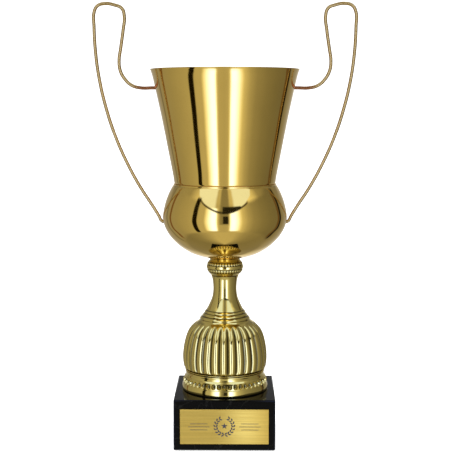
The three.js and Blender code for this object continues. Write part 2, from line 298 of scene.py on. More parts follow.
def spun(line, foot, segments, closed=False):
    """A new bmesh: the line turned once round the Z axis, with its foot at that height."""
    bm = bmesh.new()
    verts = [bm.verts.new(point + Vector((0, 0, foot))) for point in line]
    pairs = list(zip(verts, verts[1:]))
    if closed:
        pairs.append((verts[-1], verts[0]))
    edges = [bm.edges.new(pair) for pair in pairs]
    bmesh.ops.spin(
        bm, geom=verts + edges, cent=(0, 0, 0), axis=(0, 0, 1), dvec=(0, 0, 0), angle=math.tau,
        steps=segments, use_merge=True,
    )
    bmesh.ops.remove_doubles(bm, verts=bm.verts, dist=1e-7)
    bmesh.ops.recalc_face_normals(bm, faces=bm.faces)
    return bm


def sunk(bm, depth_at, fully_shaded_depth, corner_shade_at=None):
    """Moves the outer surface's points towards the axis by depth_at(angle from the front, height),
    and notes in the attribute "recess", from 0 to 1, the strength of painted shade: the larger of how deep it
    lies and how near it is to a shaded inner corner."""
    recess = bm.verts.layers.float.new("recess")
    bm.normal_update()
    outer = [v for v in bm.verts if v.normal.x * v.co.x + v.normal.y * v.co.y > 0]
    for vert in outer:
        radius = math.hypot(vert.co.x, vert.co.y)
        depth = depth_at(math.atan2(vert.co.x, -vert.co.y), vert.co.z)
        corner_shade = corner_shade_at(vert.co.z) if corner_shade_at else 0.0
        vert[recess] = share(max(depth / fully_shaded_depth, corner_shade))
        vert.co.x *= (radius - depth) / radius
        vert.co.y *= (radius - depth) / radius


def off_centre(angle, count):
    """How far an angle lies from the nearest of evenly spaced marks: 0 on one, 1 half way between two."""
    turn = angle * count / math.tau
    return 2 * abs(turn - round(turn))


def share(value):
    """The value, kept between 0 and 1."""
    return max(0.0, min(1.0, value))


def edged(bm, width, segments=3, sharper_than=40):
    """Rounds every edge that turns by more than sharper_than, in degrees."""
    limit = math.radians(sharper_than)
    edges = [e for e in bm.edges if len(e.link_faces) == 2 and e.calc_face_angle() > limit]
    bmesh.ops.bevel(
        bm, geom=edges, offset=width, offset_type="OFFSET", affect="EDGES", segments=segments, profile=0.5,
        material=-1, clamp_overlap=True,
    )


def piece(bm, name, material, nodes, crease=35, flat_over=1.0):
    """The finished bmesh as an object that rides on the body and stands for its CAD nodes.
    Edges that turn by less than crease, in degrees, are smooth, and so are faces with an area
    below flat_over, in square metres."""
    bm.normal_update()
    limit = math.radians(crease)
    for face in bm.faces:
        face.smooth = face.calc_area() < flat_over
    for edge in bm.edges:
        edge.smooth = len(edge.link_faces) != 2 or edge.calc_face_angle(0) < limit
    mesh = bpy.data.meshes.new(name)
    bm.to_mesh(mesh)
    bm.free()
    mesh.materials.append(material)
    made = bpy.data.objects.new(name, mesh)
    bpy.context.scene.collection.objects.link(made)
    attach(made, BODY)
    if nodes:
        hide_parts(*nodes)
    return made


# ------------------------------------------------------------------ shader helpers
class Shader:
    """Adds and joins the nodes of one node tree."""

    def __init__(self, tree):
        self.tree = tree

    def put(self, value, socket):
        """Links a node's output to the socket, or sets the socket to a plain value."""
        if isinstance(value, bpy.types.NodeSocket):
            self.tree.links.new(value, socket)
        else:
            socket.default_value = value

    def add(self, kind, inputs=(), **settings):
        node = self.tree.nodes.new(kind)
        for name, value in settings.items():
            setattr(node, name, value)
        for key, value in dict(inputs).items():
            self.put(value, node.inputs[key])
        return node

    def feed(self, node, **inputs):
        """Puts values into a node's inputs, with their names' spaces written as underscores."""
        for key, value in inputs.items():
            self.put(value, node.inputs[key.replace("_", " ")])

    def place(self):
        """Where the shaded point lies in its piece."""
        return self.add("ShaderNodeTexCoord").outputs["Object"]

    def xyz(self, vector):
        return self.add("ShaderNodeSeparateXYZ", {0: vector}).outputs

    def noise(self, place, scale, detail, **more):
        inputs = {"Vector": place, "Scale": scale, "Detail": detail, **more}
        return self.add("ShaderNodeTexNoise", inputs).outputs["Fac"]

    def math(self, operation, *values):
        return self.add("ShaderNodeMath", dict(enumerate(values)), operation=operation).outputs[0]

    def ramp(self, value, low, high, out_low=0.0, out_high=1.0, shape="SMOOTHSTEP"):
        inputs = {"Value": value, "From Min": low, "From Max": high, "To Min": out_low, "To Max": out_high}
        return self.add("ShaderNodeMapRange", inputs, interpolation_type=shape).outputs["Result"]

    def blend(self, factor, a, b):
        node = self.add("ShaderNodeMix", data_type="RGBA")
        for key, value in (("Factor", factor), ("A", a), ("B", b)):
            self.put(value, next(s for s in node.inputs if s.name == key and s.enabled))
        return next(s for s in node.outputs if s.enabled)

    def bump(self, height, distance):
        return self.add("ShaderNodeBump", {"Height": height, "Distance": distance}).outputs["Normal"]

    def group(self, tree, **inputs):
        node = self.add("ShaderNodeGroup", node_tree=tree)
        for key, value in inputs.items():
            self.put(value, node.inputs[key.replace("_", " ").capitalize()])
        return node.outputs


def opaque(colour, factor=1.0):
    return (*(channel * factor for channel in colour), 1.0)


def made_once(kind, name):
    """Decorates a maker of a material or node group, so that it is made once and found by name after that."""

    def decorate(make):
        def find():
            return getattr(bpy.data, kind).get(name) or make(name)

        return find

    return decorate


# ------------------------------------------------------------------ shared effects
def new_group(name, inputs, outputs):
    """A new node group's shader, with the sockets of its inputs and outputs."""
    tree = bpy.data.node_groups.new(name, "ShaderNodeTree")
    for label, default in inputs:
        socket = tree.interface.new_socket(label, in_out="INPUT", socket_type="NodeSocketFloat")
        socket.default_value = default
    for label in outputs:
        tree.interface.new_socket(label, in_out="OUTPUT", socket_type="NodeSocketFloat")
    sh = Shader(tree)
    return sh, sh.add("NodeGroupInput").outputs, sh.add("NodeGroupOutput").inputs


@made_once("node_groups", "handling marks")
def handling_marks(name):
    """Cloudy smudges and fine specks, as on anything that has been wiped and carried."""
    sh, given, out = new_group(name, (("Cloud size", 30.0), ("Speck size", 900.0)), ("Smudge", "Specks"))
    place = sh.place()
    clouds = sh.noise(place, given["Cloud size"], 5.0, Roughness=0.6)
    specks = sh.noise(place, given["Speck size"], 2.0)
    sh.put(sh.ramp(clouds, 0.42, 0.72), out["Smudge"])
    sh.put(sh.ramp(specks, 0.62, 0.74), out["Specks"])
    return sh.tree


@made_once("node_groups", "drawn lines")
def drawn_lines(name):
    """Fine lines along one axis: small scales stretch them, large scales pack them."""
    sizes_along = (("Scale x", 20.0), ("Scale y", 20.0), ("Scale z", 900.0))
    sh, given, out = new_group(name, sizes_along, ("Lines", "Broad"))
    scale = sh.add("ShaderNodeCombineXYZ", {axis: given[f"Scale {axis.lower()}"] for axis in "XYZ"})
    corners = {0: sh.place(), 1: scale.outputs[0]}
    stretched = sh.add("ShaderNodeVectorMath", corners, operation="MULTIPLY").outputs[0]
    sh.put(sh.noise(stretched, 1.0, 3.0, Roughness=0.7), out["Lines"])
    sh.put(sh.noise(stretched, 0.15, 2.0), out["Broad"])
    return sh.tree


# ------------------------------------------------------------------ materials
def started(name):
    """A new material, its shader and its Principled node."""
    material = bpy.data.materials.new(name)
    material.use_nodes = True
    return material, Shader(material.node_tree), material.node_tree.nodes["Principled BSDF"]


def gold(name, base, roughness, ripple):
    """Bright gold: a mirror with faint smudges, pin specks and the slow ripple of polished metal, with
    painted shade, a darker colour and a little more roughness, where the surface lies deep."""
    material, sh, bsdf = started(name)
    marks = sh.group(handling_marks(), cloud_size=22.0, speck_size=1400.0)
    waves = sh.noise(sh.place(), 90.0, 1.0)
    tint = sh.blend(marks["Smudge"], opaque(base), opaque(base, 0.95))
    rough = sh.ramp(marks["Smudge"], 0.0, 1.0, roughness, roughness + 0.035, "LINEAR")
    speckled = sh.math("MULTIPLY_ADD", marks["Specks"], 0.05, rough)
    # Painted shade: the colour darkens towards the shade colour, and the roughness rises a little, as the
    # surface lies deeper.
    recess_shade = sh.ramp(sh.add("ShaderNodeAttribute", attribute_name="recess").outputs["Fac"], 0.25, 0.95)
    sh.feed(
        bsdf, Base_Color=sh.blend(recess_shade, tint, opaque(finishes().recess_shade)), Metallic=1.0,
        Roughness=sh.math("MULTIPLY_ADD", recess_shade, 0.1, speckled), Normal=sh.bump(waves, ripple),
    )
    return material


@made_once("materials", "polished gold")
def polished_gold(name):
    return gold(name, finishes().gold, finishes().gloss, 4e-6)


@made_once("materials", "plated stem gold")
def stem_gold(name):
    return gold(name, finishes().stem_gold, finishes().gloss + 0.03, 6e-6)


@made_once("materials", "gold wire")
def wire_gold(name):
    """Gold wire, with a painted reflection of the gold cup, a brown tint, on its level ends where they meet
    the cup.
    """
    material = gold(name, finishes().wire_gold, 0.25, 2e-6)
    sh = Shader(material.node_tree)
    bsdf = material.node_tree.nodes["Principled BSDF"]
    # Painted reflection: the level ends near the cup take a brown tint that stands for the cup's reflection.
    x, y, z = sh.xyz(sh.place())
    inward = sh.ramp(sh.math("ABSOLUTE", x), 82 * MM, 94 * MM, 1.0, 0.0)
    level = sh.math("MULTIPLY", inward, sh.ramp(z, 340 * MM, 350 * MM))
    plain = bsdf.inputs["Base Color"].links[0].from_socket
    sh.feed(bsdf, Base_Color=sh.blend(level, plain, opaque(finishes().cup_reflection_tint)))
    return material


@made_once("materials", "brushed gold plate")
def plate_gold(name):
    """Satin plate, brushed along its length and a little bowed towards its right end."""
    material, sh, bsdf = started(name)
    base = finishes().plate_gold
    lines = sh.group(drawn_lines(), scale_x=14.0, scale_y=14.0, scale_z=2600.0)
    tint = sh.blend(sh.ramp(lines["Lines"], 0.35, 0.65), opaque(base, 0.86), opaque(base, 1.08))
    rough = sh.ramp(lines["Broad"], 0.3, 0.7, 0.30, 0.40)
    past_start = sh.math("ADD", sh.xyz(sh.place())["X"], 0.01)
    bow = sh.math("MULTIPLY", sh.math("POWER", sh.math("MAXIMUM", past_start, 0.0), 2.0), -2.6)
    height = sh.math("MULTIPLY_ADD", lines["Lines"], 1.2e-5, bow)
    sh.feed(bsdf, Base_Color=tint, Metallic=1.0, Roughness=rough, Normal=sh.bump(height, 1.0))
    return material


@made_once("materials", "polished black stone")
def black_stone(name):
    """Polished near-black stone: faint grey veins and crystals under a wiped gloss."""
    material, sh, bsdf = started(name)
    marks = sh.group(handling_marks(), cloud_size=26.0, speck_size=1100.0)
    drift = sh.noise(sh.place(), 18.0, 6.0, Distortion=1.6)
    off_vein = sh.math("ABSOLUTE", sh.math("SUBTRACT", drift, 0.5))
    vein = sh.math("MULTIPLY", sh.ramp(off_vein, 0.0, 0.012, 1.0, 0.0), 0.12)
    veined = sh.blend(vein, opaque(finishes().stone), opaque((0.05, 0.05, 0.047)))
    tint = sh.blend(sh.math("MULTIPLY", marks["Specks"], 0.3), veined, opaque((0.02, 0.02, 0.019)))
    rough = sh.ramp(marks["Smudge"], 0.0, 1.0, 0.06, 0.10, "LINEAR")
    sh.feed(bsdf, Base_Color=tint, Roughness=rough, IOR=1.22, Normal=sh.bump(drift, 5e-7))
    return material


@made_once("materials", "engraving filler")
def engraving(name):
    """Dark filler in the plate's engraving, slightly uneven."""
    material, sh, bsdf = started(name)
    base = finishes().ink
    marks = sh.group(handling_marks(), cloud_size=400.0, speck_size=3000.0)
    tint = sh.blend(marks["Smudge"], opaque(base), opaque(base, 1.8))
    sh.feed(bsdf, Base_Color=tint, Roughness=sh.ramp(marks["Specks"], 0.0, 1.0, 0.42, 0.6))
    return material


@made_once("materials", "zinc plated steel")
def zinc_steel(name):
    """Zinc-plated steel: bluish grey with a mottled passivated sheen."""
    material, sh, bsdf = started(name)
    marks = sh.group(handling_marks(), cloud_size=260.0, speck_size=2600.0)
    tint = sh.blend(marks["Smudge"], opaque(finishes().steel), opaque((0.50, 0.49, 0.44)))
    rough = sh.ramp(marks["Smudge"], 0.0, 1.0, 0.26, 0.40, "LINEAR")
    sh.feed(bsdf, Base_Color=tint, Metallic=1.0, Roughness=rough, Normal=sh.bump(marks["Specks"], 1e-5))
    return material


@made_once("materials", "black felt")
def black_felt(name):
    """Dense felt: short tangled fibres."""
    material, sh, bsdf = started(name)
    base = finishes().felt
    fibres = sh.noise(sh.place(), 2200.0, 4.0, Distortion=2.5)
    sh.feed(
        bsdf, Base_Color=sh.blend(fibres, opaque(base, 0.5), opaque(base, 2.2)),
        Roughness=sh.ramp(fibres, 0.3, 0.7, 0.85, 1.0), Sheen_Weight=0.4, Sheen_Roughness=0.5,
        Normal=sh.bump(fibres, 1.5e-4),
    )
    return material


@made_once("materials", "foam tape")
def foam_tape(name):
    """White foam tape: fine closed cells."""
    material, sh, bsdf = started(name)
    base = finishes().tape
    cells = sh.add("ShaderNodeTexVoronoi", {"Vector": sh.place(), "Scale": 4200.0}).outputs["Distance"]
    sh.feed(
        bsdf, Base_Color=sh.blend(sh.ramp(cells, 0.0, 0.6), opaque(base, 0.7), opaque(base)),
        Roughness=sh.ramp(cells, 0.0, 0.6, 0.75, 0.9), Normal=sh.bump(cells, 4e-5),
    )
    return material


# ------------------------------------------------------------------ operators
class CupOperator:
    """What every operator here shares."""

    bl_options = {"REGISTER", "UNDO"}


class CUP_OT_stage(CupOperator, bpy.types.Operator):
    """Sets the camera, the floor and the soft studio light"""

    bl_idname = "cup.stage"
    bl_label = "Stage"

    def execute(self, context):
        studio = context.scene.cup_studio
        context.scene.view_settings.view_transform = "Standard"
        self.camera(context, studio)
        self.floor(context, studio)
        self.light(context, studio)
        return {"FINISHED"}

    def camera(self, context, studio):
        data = bpy.data.cameras.new("camera")
        data.lens = studio.lens
        data.sensor_width = 36.0
        data.clip_start, data.clip_end = 0.01, 50.0
        camera = bpy.data.objects.new("camera", data)
        context.scene.collection.objects.link(camera)
        around = studio.azimuth
        right, front = math.sin(around), -math.cos(around)
        camera.location = (studio.distance * right, studio.distance * front, studio.height)
        camera.rotation_euler = (math.pi / 2 - studio.tilt, 0, around + studio.pan)
        context.scene.camera = camera

    def floor(self, context, studio):
        bm = bmesh.new()
        bmesh.ops.create_circle(bm, cap_ends=True, segments=96, radius=12.0)
        mesh = bpy.data.meshes.new("floor")
        bm.to_mesh(mesh)
        bm.free()
        floor = bpy.data.objects.new("floor", mesh)
        context.scene.collection.objects.link(floor)
        floor.visible_glossy = False
        material, sh, bsdf = started("pale floor")
        sh.feed(
            bsdf, Base_Color=opaque(studio.floor), Roughness=0.9, Specular_IOR_Level=0.0,
            Emission_Color=opaque(studio.floor), Emission_Strength=0.5,
        )
        mesh.materials.append(material)

    def light(self, context, studio):
        world = bpy.data.worlds.new("light tent")
        world.use_nodes = True
        world.node_tree.nodes.clear()
        sh = Shader(world.node_tree)
        mirrored = sh.add("ShaderNodeBackground", {"Color": self.tent(sh, studio), "Strength": 1.0})
        plain = sh.add("ShaderNodeBackground", {"Color": (1, 1, 1, 1), "Strength": studio.soft_light})
        ray = sh.add("ShaderNodeLightPath").outputs["Is Glossy Ray"]
        either = sh.add("ShaderNodeMixShader", {0: ray, 1: plain.outputs[0], 2: mirrored.outputs[0]})
        sh.add("ShaderNodeOutputWorld", {"Surface": either.outputs[0]})
        context.scene.world = world

    def tent(self, sh, studio):
        """What polished metal mirrors, by direction: a light tent's walls, ceiling and table, two tall lamps,
        narrow strips, and an arched opening in front with bright flaps round it and a camera in it."""
        x, y, z = sh.xyz(sh.add("ShaderNodeTexCoord").outputs["Generated"])
        around = sh.math("DEGREES", sh.math("ARCTAN2", x, sh.math("MULTIPLY", y, -1.0)))
        up = sh.math("DEGREES", sh.math("ARCSINE", z))

        def both(*masks):
            shared = masks[0]
            for mask in masks[1:]:
                shared = sh.math("MULTIPLY", shared, mask)
            return shared

        def between(low, high, soft, value=up, last=None):
            """1 from low to high, with soft edges; the last edge may have a softness of its own."""
            last = last or soft
            rise = sh.ramp(value, low - soft, low + soft)
            return both(rise, sh.ramp(value, high - last, high + last, 1, 0))

        walls, ceiling, table = (self.band(sh, around, stops) for stops in (WALLS, CEILING, TABLE))
        seen = sh.blend(sh.ramp(up, -48, -40), table, walls)
        seen = sh.blend(sh.ramp(up, 29, 36), seen, ceiling)

        # The opening's top is an arch that rises with the square of the angle to either side, and the
        # flaps fan out as they rise.
        aside = sh.math("ABSOLUTE", around)
        over_arch = sh.math("MULTIPLY_ADD", both(aside, aside), -0.005, up)
        fan = sh.ramp(sh.math("MULTIPLY_ADD", up, -2.2, aside), -29, -22, 1, 0)
        dim_back = both(sh.ramp(aside, 125, 150), between(12, 42, 3))
        flaps = both(sh.ramp(aside, 15, 22), fan, sh.ramp(over_arch, 20.5, 23))
        table_front = both(between(-9, 9, 3, around), sh.ramp(up, -19, -11))
        patches = [
            (dim_back, (0.22, 0.22, 0.22)), (flaps, (1.1, 1.35, 2.4)), (table_front, (0.30, 0.30, 0.30)),
        ]
        lit = between(-37, 25, 4, last=2.5)
        for left, left_soft, right, right_soft in LAMPS:
            glow = between(left - left_soft, right + right_soft, 3, around)
            core = between(left, right, left_soft, around, right_soft)
            core_colour = opaque(studio.lamp, studio.lamp_power)[:3]
            patches += [(both(glow, lit), LAMP_GLOW), (both(core, lit), core_colour)]
        arch = both(between(-55, 50, 3, around), between(18.8, 21.5, 1.2, over_arch))
        patches.append((arch, (0.06, 0.06, 0.06)))
        for (left, right, bottom, top), (sides, ends), shade in STRIPS:
            patches.append((both(between(left, right, sides, around), between(bottom, top, ends)), shade))
        camera_head = both(
            between(-4, 33, 1.5, around), sh.ramp(over_arch, 18.5, 20), sh.ramp(up, 27, 30, 1, 0)
        )
        patches.append((camera_head, (0.02, 0.02, 0.02)))
        for mask, shade in patches:
            seen = sh.blend(mask, seen, opaque(shade))
        return seen

    def band(self, sh, around, stops):
        """Brightness round the horizon, from (degrees from the front, level) stops."""
        ramp = sh.add("ShaderNodeValToRGB", {0: sh.ramp(around, -180, 180, shape="LINEAR")})
        elements = ramp.color_ramp.elements
        for number, (degrees, level) in enumerate(stops):
            place = degrees / 360 + 0.5
            element = elements[number] if number < 2 else elements.new(place)  # a new ramp has two
            element.position = place
            element.color = opaque((level, level, level))
        return ramp.outputs[0]


class CUP_OT_plinth(CupOperator, bpy.types.Operator):
    """Models the stone plinth with its rounded edges, rod bore and counterbore"""

    bl_idname = "cup.plinth"
    bl_label = "Plinth"

    def execute(self, context):
        low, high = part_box("stone_plinth")
        bm = bmesh.new()
        bmesh.ops.create_cube(bm, size=1.0)
        bmesh.ops.scale(bm, vec=high - low, verts=bm.verts)
        bmesh.ops.translate(bm, vec=(low + high) / 2, verts=bm.verts)
        bmesh.ops.bevel(
            bm, geom=bm.edges[:], offset=sizes().stone_edge, affect="EDGES", segments=4, profile=0.5,
            material=-1,
        )
        block = piece(bm, "plinth", black_stone(), ["stone_plinth"], crease=50, flat_over=1e-3)
        uncut_faces = len(block.data.polygons)
        bore, counterbore = ROD_BORE_RADIUS * MM, COUNTERBORE_RADIUS * MM
        bottom, top = low.z - DRILL_OVERRUN * MM, high.z + DRILL_OVERRUN * MM
        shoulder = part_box("rod_washer_bottom")[1].z + COUNTERBORE_SPARE * MM
        drill_line = [
            Vector((0, 0, bottom)), Vector((counterbore, 0, bottom)), Vector((counterbore, 0, shoulder)),
            Vector((bore, 0, shoulder)), Vector((bore, 0, top)), Vector((0, 0, top)),
        ]
        drill_mesh = bpy.data.meshes.new("drill")
        drill_bm = spun(drill_line, 0, 64)
        drill_bm.to_mesh(drill_mesh)
        drill_bm.free()
        drill = bpy.data.objects.new("drill", drill_mesh)
        context.scene.collection.objects.link(drill)
        cut = block.modifiers.new("bore", "BOOLEAN")
        cut.operation = "DIFFERENCE"
        cut.object = drill
        context.view_layer.update()
        bored = bpy.data.meshes.new_from_object(block.evaluated_get(context.evaluated_depsgraph_get()))
        if len(bored.polygons) <= uncut_faces:
            raise RuntimeError("The plinth's bore was not cut")
        block.modifiers.clear()
        block.data = bored
        bpy.data.objects.remove(drill)
        return {"FINISHED"}


class CUP_OT_foot_ring(CupOperator, bpy.types.Operator):
    """Spins the foot ring and presses its row of dimples"""

    bl_idname = "cup.foot_ring"
    bl_label = "Foot ring"

    def execute(self, context):
        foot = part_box("foot_ring")[0].z
        line = joined(FOOT_RING_RUNS, 7) + straight(FOOT_RING_HOLLOW)
        count = sizes().dimple_count
        bm = spun(line, foot, count * STEPS_PER_DIMPLE, closed=True)

        def dimple(angle, height):
            across = off_centre(angle, count) / DIMPLE_HALF_WIDTH
            along = (height - foot - DIMPLE_HEIGHT * MM) / (DIMPLE_HALF_HEIGHT * MM)
            inside = 1 - across * across - along * along
            return sizes().dimple_depth * math.sqrt(inside) if inside > 0 else 0.0

        # The dimples' middles get painted shade.
        sunk(bm, dimple, 1.1 * sizes().dimple_depth)
        piece(bm, "foot_ring_dimpled", stem_gold(), ["foot_ring"])
        return {"FINISHED"}


class CUP_OT_riser(CupOperator, bpy.types.Operator):
    """Spins the bell-shaped riser and raises its ribs"""

    bl_idname = "cup.riser"
    bl_label = "Gadrooned riser"

    def execute(self, context):
        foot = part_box("gadrooned_riser")[0].z
        rings = []
        for radius, height in zip(STEP_RING_RADII, STEP_RING_HEIGHTS):
            low, high = height - STEP_RING_HALF_HEIGHT, height + STEP_RING_HALF_HEIGHT
            rings.append(((radius - 0.2, low), (radius, height - 0.3), (radius - 1.5, high)))
        line = joined((*RISER_RUNS, *rings, NECK_RUN), 6) + straight(RISER_HOLLOW)
        count = sizes().rib_count
        bm = spun(line, foot, count * STEPS_PER_RIB, closed=True)

        def groove(angle, height):
            across = off_centre(angle - sizes().rib_turn, count)
            start = share((height - foot - RIB_FOOT * MM) / (RIB_FOOT_ROUNDING * MM))
            end = share((foot + RIB_HEAD * MM - height) / (RIB_HEAD_ROUNDING * MM))
            fade = math.sqrt(1 - (1 - start) ** 2) * (1 - (1 - end) ** 2)
            return sizes().rib_depth * fade * across ** 2

        def corner(height):
            nearest = min(abs(height - foot - level * MM) for level in SHADED_CORNERS)
            return 1 - nearest / (SHADED_CORNER_REACH * MM)

        # The ribs' valleys and the inner corners get painted shade.
        sunk(bm, groove, sizes().rib_depth, corner)
        piece(bm, "riser_gadrooned", stem_gold(), ["gadrooned_riser"], crease=60)
        return {"FINISHED"}


class CUP_OT_collar(CupOperator, bpy.types.Operator):
    """Spins the collar and notches its two rows of beads"""

    bl_idname = "cup.collar"
    bl_label = "Beaded collar"

    def execute(self, context):
        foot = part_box("beaded_collar")[0].z
        line = joined(COLLAR_RUNS, 6) + straight(COLLAR_HOLLOW)
        count = sizes().bead_count
        bm = spun(line, foot, count * STEPS_PER_BEAD, closed=True)

        def notch(angle, height):
            for row, level in enumerate(BEAD_ROW_HEIGHTS):
                along = abs(height - foot - level * MM) / (BEAD_HALF_HEIGHT * MM)
                if along < 1:
                    across = off_centre(angle - row * math.pi / count, count)
                    return sizes().bead_depth * (1 - math.sqrt(1 - share(across ** 2 + along ** 2)))
            return 0.0

        # The hollows between the beads get painted shade.
        sunk(bm, notch, sizes().bead_depth)
        piece(bm, "collar_beaded", stem_gold(), ["beaded_collar"])
        return {"FINISHED"}


def spun_sheet(line, foot, segments):
    """A sheet-metal shell: the outer line spun, thickened inwards and its cut edges rounded."""
    bm = spun(line, foot, segments)
    outward = sum(f.normal.dot(Vector((*f.calc_center_median().xy, 0))) for f in bm.faces)
    if outward < 0:
        bmesh.ops.reverse_faces(bm, faces=bm.faces)
    bmesh.ops.solidify(bm, geom=bm.faces, thickness=sizes().sheet)
    edged(bm, 0.25 * MM, segments=3, sharper_than=60)
    return bm


class CUP_OT_bowl(CupOperator, bpy.types.Operator):
    """Spins the round bowl"""

    bl_idname = "cup.bowl"
    bl_label = "Bowl"

    def execute(self, context):
        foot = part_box("cup_bowl")[0].z
        line = straight(BOWL_FLOOR) + joined((BOWL_BELLY_RUN, BOWL_NECK_RUN), 4)
        bm = spun_sheet(line, foot, 192)
        piece(bm, "bowl_spun", polished_gold(), ["cup_bowl"])
        return {"FINISHED"}


class CUP_OT_cone(CupOperator, bpy.types.Operator):
    """Spins the flared cone"""

    bl_idname = "cup.cone"
    bl_label = "Cone"

    def execute(self, context):
        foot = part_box("cup_cone")[0].z
        line = straight(CONE_SPIGOT_RUN) + smooth_run(CONE_FLARE_RUN, 6)
        bm = spun_sheet(line, foot, 192)
        piece(bm, "cone_spun", polished_gold(), ["cup_cone"])
        return {"FINISHED"}


class CUP_OT_handles(CupOperator, bpy.types.Operator):
    """Bends the two wire handles"""

    bl_idname = "cup.handles"
    bl_label = "Wire handles"

    def execute(self, context):
        for name, side in (("left", -1), ("right", 1)):
            self.handle(context, name, side)
        return {"FINISHED"}

    def handle(self, context, name, side):
        curve = bpy.data.curves.new("wire", "CURVE")
        curve.dimensions = "3D"
        curve.bevel_depth = sizes().wire_radius
        curve.bevel_resolution = 8
        curve.resolution_u = 10
        curve.use_fill_caps = True
        spline = curve.splines.new("BEZIER")
        spline.bezier_points.add(len(WIRE_ROUTE) - 1)
        for point, (reach, height) in zip(spline.bezier_points, WIRE_ROUTE):
            point.co = Vector((side * reach * MM, 0, height * MM))
            point.handle_left_type = point.handle_right_type = "AUTO"
        bent = bpy.data.objects.new("wire", curve)
        context.scene.collection.objects.link(bent)
        context.view_layer.update()
        mesh = bpy.data.meshes.new_from_object(bent.evaluated_get(context.evaluated_depsgraph_get()))
        bpy.data.objects.remove(bent)
        bm = bmesh.new()
        bm.from_mesh(mesh)
        bmesh.ops.remove_doubles(bm, verts=bm.verts, dist=1e-6)
        bmesh.ops.recalc_face_normals(bm, faces=bm.faces)
        piece(bm, f"wire_handle_{name}", wire_gold(), [f"handle_{name}"])


def hex_nut(across_flats, bore, height):
    """A hexagon nut on the Z axis with its foot at 0: a chamfered ring with its six flats pressed in."""
    half = across_flats / 2
    corner = across_flats / math.sqrt(3)
    chamfer = 1.3 * (corner - half) * math.tan(math.radians(30))
    line = [
        Vector((bore, 0, 0)), Vector((half * 0.97, 0, 0)), Vector((corner, 0, chamfer)),
        Vector((corner, 0, height / 2)), Vector((corner, 0, height - chamfer)),
        Vector((half * 0.97, 0, height)), Vector((bore, 0, height)),
    ]
    bm = spun(line, 0, 72, closed=True)
    for vert in bm.verts:
        angle = math.atan2(vert.co.y, vert.co.x)
        off_flat = (angle + math.pi / 6) % (math.pi / 3) - math.pi / 6
        limit = half / math.cos(off_flat)
        radius = math.hypot(vert.co.x, vert.co.y)
        if radius > limit:
            vert.co.x *= limit / radius
            vert.co.y *= limit / radius
    return bm


def washer(width, bore, height):
    """A stamped washer on the Z axis with its foot at 0."""
    line = [
        Vector((bore, 0, 0)), Vector((width / 2, 0, 0)), Vector((width / 2, 0, height)),
        Vector((bore, 0, height)),
    ]
    bm = spun(line, 0, 64, closed=True)
    edged(bm, height * 0.2, segments=2)
    return bm


def threaded_rod(radius, length, pitch):
    """A rod on the Z axis with thread grooves from end to end and chamfered ends."""
    root = radius - THREAD_DEPTH * pitch
    line = [Vector((0, 0, 0)), Vector((root * 0.96, 0, 0)), Vector((root, 0, 0.5 * pitch))]
    for turn in range(1, int(length / pitch) - 1):
        line += [Vector((radius, 0, turn * pitch)), Vector((root, 0, (turn + 0.5) * pitch))]
    line += [Vector((root * 0.96, 0, length)), Vector((0, 0, length))]
    return spun(line, 0, 24)


class CUP_OT_tie_rod(CupOperator, bpy.types.Operator):
    """Makes the threaded tie rod with its nuts and washers"""

    bl_idname = "cup.tie_rod"
    bl_label = "Tie rod"

    def execute(self, context):
        low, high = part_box("tie_rod")
        bm = threaded_rod(high.x, high.z - low.z, THREAD_PITCH * MM)
        self.stand(bm, "tie_rod_threaded", "tie_rod", crease=50)
        for end in ("top", "bottom"):
            low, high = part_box(f"rod_washer_{end}")
            bm = washer(high.x - low.x, ROD_WASHER_BORE * MM, high.z - low.z)
            self.stand(bm, f"large_washer_{end}", f"rod_washer_{end}")
            low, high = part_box(f"rod_nut_{end}")
            bm = hex_nut(high.y - low.y, ROD_NUT_BORE * MM, high.z - low.z)
            self.stand(bm, f"hex_nut_{end}", f"rod_nut_{end}")
        return {"FINISHED"}

    def stand(self, bm, name, node, crease=35):
        """Lifts a fastener to its CAD node's height and finishes it."""
        bmesh.ops.translate(bm, vec=(0, 0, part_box(node)[0].z), verts=bm.verts)
        piece(bm, name, zinc_steel(), [node], crease=crease)


class CUP_OT_handle_fixings(CupOperator, bpy.types.Operator):
    """Makes the small nuts and washers on the handles' studs"""

    bl_idname = "cup.handle_fixings"
    bl_label = "Handle fixings"

    def execute(self, context):
        for level in ("upper", "lower"):
            for name in ("left", "right"):
                self.fixing(f"handle_washer_{level}_{name}", f"small_washer_{level}_{name}", washer)
                self.fixing(f"handle_nut_{level}_{name}", f"small_nut_{level}_{name}", hex_nut)
        return {"FINISHED"}

    def fixing(self, node, name, shape):
        """Makes a nut or washer whose axis lies along X, where its CAD node is."""
        low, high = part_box(node)
        bm = shape(high.y - low.y, sizes().wire_radius + FIXING_CLEARANCE * MM, high.x - low.x)
        turn = Matrix.Rotation(math.pi / 2, 4, "Y")
        foot = Matrix.Translation((low.x, 0, (low.z + high.z) / 2))
        bmesh.ops.transform(bm, matrix=foot @ turn, verts=bm.verts)
        piece(bm, name, zinc_steel(), [node])


class CUP_OT_felt_pads(CupOperator, bpy.types.Operator):
    """Punches the four felt pads"""

    bl_idname = "cup.felt_pads"
    bl_label = "Felt pads"

    def execute(self, context):
        felt = black_felt()
        for number in (1, 2, 3, 4):
            low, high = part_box(f"felt_pad_{number}")
            bm = bmesh.new()
            radius = (high.x - low.x) / 2
            bmesh.ops.create_cone(
                bm, cap_ends=True, segments=64, radius1=radius, radius2=radius * 0.985, depth=high.z - low.z
            )
            edged(bm, 0.18 * MM)
            bmesh.ops.translate(bm, vec=(low + high) / 2, verts=bm.verts)
            piece(bm, f"felt_foot_{number}", felt, [f"felt_pad_{number}"])
        return {"FINISHED"}


